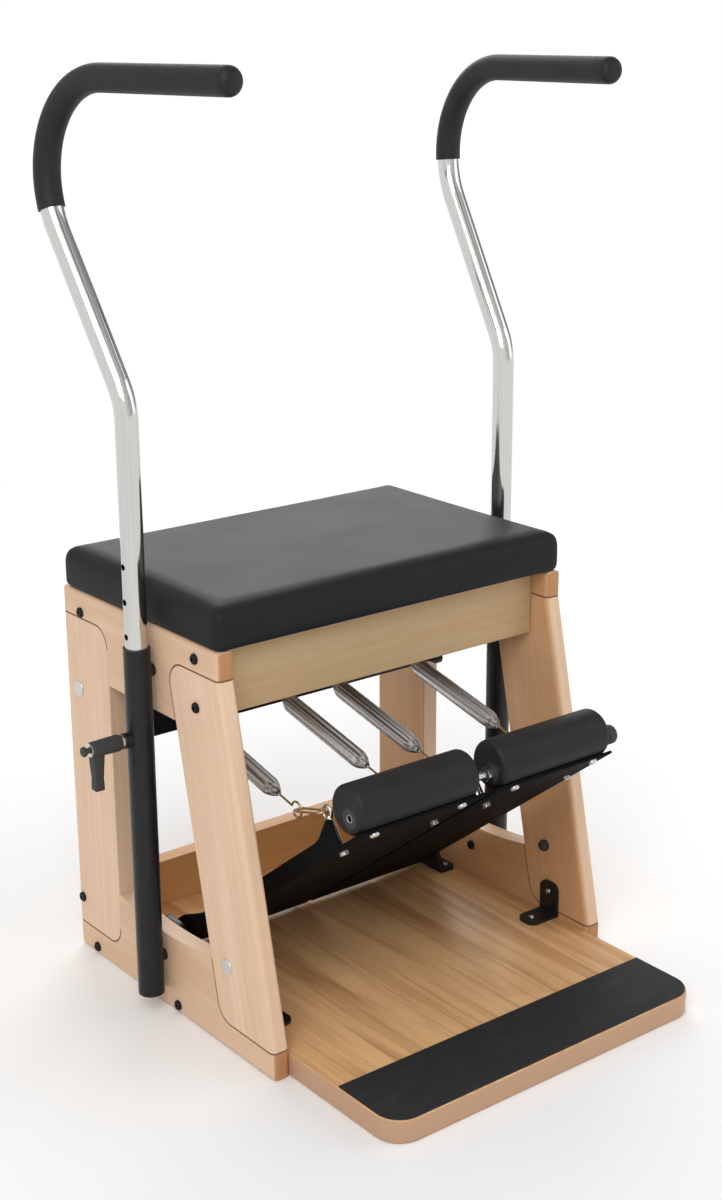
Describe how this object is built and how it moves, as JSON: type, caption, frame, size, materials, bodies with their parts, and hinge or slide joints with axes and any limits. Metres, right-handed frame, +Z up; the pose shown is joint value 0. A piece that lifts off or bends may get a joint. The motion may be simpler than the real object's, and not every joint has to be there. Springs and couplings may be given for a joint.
{
  "type": "pilates chair",
  "caption": "Wooden pilates chair with a padded seat, sprung split foot pedals over a base board, and height-adjustable upright handles with foam grips.",
  "frame": {"origin": "on the floor, midway between the two side frames, under the handle sleeves", "axes": "+Z up, -Y towards the front where the foot pedals are, +X to the right seen from the front"},
  "size_m": [0.854, 0.741, 1.324],
  "materials": {
    "beech": "oiled beech",
    "base_beech": "lacquered beech board",
    "plywood": "raw plywood",
    "leatherette": "black upholstery, fine grain",
    "foam": "black closed-cell foam",
    "grip_strip": "black rubber",
    "black_steel": "black powder coat",
    "chrome": "polished",
    "spring_steel": "bright wire",
    "brass": "yellow passivated wire",
    "zinc": "zinc plated",
    "black_plastic": "moulded",
    "nylon": "moulded",
    "cap_metal": "satin"
  },
  "bodies": {
    "frame": {"front_apron": "beech", "rear_apron": "beech", "rear_board": "beech", "base_board": "base_beech", "base_grip_strip": "grip_strip", "seat_board": "plywood", "seat_cushion": "leatherette", "frame_bolts": "black_steel", "cover_caps": "cap_metal", "leg_bumpers": "black_plastic", "wood_screws": "zinc", "leg_angles": "black_steel", "sleeve_bolts": "black_steel", "spring_bar": "black_steel", "spring_bar_plates": "black_steel", "pivot_axle": "zinc", "pivot_brackets": "black_steel", "left_front_leg": "beech", "left_rear_leg": "beech", "left_top_rail": "beech", "left_bottom_rail": "beech", "left_handle_sleeve": "black_steel", "right_front_leg": "beech", "right_rear_leg": "beech", "right_top_rail": "beech", "right_bottom_rail": "beech", "right_handle_sleeve": "black_steel"},
    "left_pedal": {"left_pedal_frame": "black_steel", "left_pivot_bushes": "nylon", "left_pad_core": "black_plastic", "left_foot_pad": "foam", "left_pad_bolts": "zinc", "left_spring_eyes": "zinc", "left_spring_links": "brass"},
    "left_springs": {"left_inner_spring": "spring_steel", "left_outer_spring": "spring_steel", "left_upper_hooks": "brass"},
    "left_spring_ends": {"left_lower_hooks": "brass"},
    "left_handle": {"left_handle_pole": "chrome", "left_handle_grip": "foam"},
    "left_lever": {"left_clamp_lever": "black_plastic", "left_lever_stud": "zinc"},
    "right_pedal": {"right_pedal_frame": "black_steel", "right_pivot_bushes": "nylon", "right_pad_core": "black_plastic", "right_foot_pad": "foam", "right_pad_bolts": "zinc", "right_spring_eyes": "zinc", "right_spring_links": "brass"},
    "right_springs": {"right_inner_spring": "spring_steel", "right_outer_spring": "spring_steel", "right_upper_hooks": "brass"},
    "right_spring_ends": {"right_lower_hooks": "brass"},
    "right_handle": {"right_handle_pole": "chrome", "right_handle_grip": "foam"},
    "right_lever": {"right_clamp_lever": "black_plastic", "right_lever_stud": "zinc"},
    "dowel": {"link_dowel": "zinc", "dowel_knob": "black_plastic"}
  },
  "joints": [
    {"name": "left_pedal_press", "type": "hinge", "parent": "frame", "child": "left_pedal", "pos_m": [0, 0.08, 0.06], "axis": [1, 0, 0], "range_deg": [0, 36], "stiffness_Nm_per_rad": 100, "springref_deg": -22.92},
    {"name": "left_spring_swing", "type": "hinge", "parent": "frame", "child": "left_springs", "pos_m": [0, 0.084, 0.406], "axis": [1, 0, 0], "range_deg": [0, 22.4]},
    {"name": "left_spring_stretch", "type": "slide", "parent": "left_springs", "child": "left_spring_ends", "axis": [0, -0.9751, -0.2218], "range_m": [0, 0.1968], "deforming": ["left_inner_spring", "left_outer_spring"]},
    {"name": "left_handle_height", "type": "slide", "parent": "frame", "child": "left_handle", "axis": [0, 0, 1], "range_m": [-0.1485, 0.099]},
    {"name": "left_lever_turn", "type": "hinge", "parent": "frame", "child": "left_lever", "pos_m": [-0.334, 0.002, 0.426], "axis": [1, 0, 0], "range_deg": [-90, 90]},
    {"name": "right_pedal_press", "type": "hinge", "parent": "frame", "child": "right_pedal", "pos_m": [0, 0.08, 0.06], "axis": [1, 0, 0], "range_deg": [0, 36], "stiffness_Nm_per_rad": 100, "springref_deg": -22.92},
    {"name": "right_spring_swing", "type": "hinge", "parent": "frame", "child": "right_springs", "pos_m": [0, 0.084, 0.406], "axis": [1, 0, 0], "range_deg": [0, 22.4]},
    {"name": "right_spring_stretch", "type": "slide", "parent": "right_springs", "child": "right_spring_ends", "axis": [0, -0.9751, -0.2218], "range_m": [0, 0.1968], "deforming": ["right_inner_spring", "right_outer_spring"]},
    {"name": "right_handle_height", "type": "slide", "parent": "frame", "child": "right_handle", "axis": [0, 0, 1], "range_m": [-0.1485, 0.099]},
    {"name": "right_lever_turn", "type": "hinge", "parent": "frame", "child": "right_lever", "pos_m": [0.334, 0.002, 0.426], "axis": [1, 0, 0], "range_deg": [-90, 90]},
    {"name": "dowel_push", "type": "slide", "parent": "right_pedal", "child": "dowel", "axis": [1, 0, 0], "range_m": [-0.011, 0]}
  ],
  "couplings": [
    {"joint": "left_spring_swing", "follows": "left_pedal_press", "ratio": 0.61932},
    {"joint": "left_spring_stretch", "follows": "left_pedal_press", "m_per_rad": 0.31163},
    {"joint": "right_spring_swing", "follows": "right_pedal_press", "ratio": 0.61932},
    {"joint": "right_spring_stretch", "follows": "right_pedal_press", "m_per_rad": 0.31163}
  ]
}
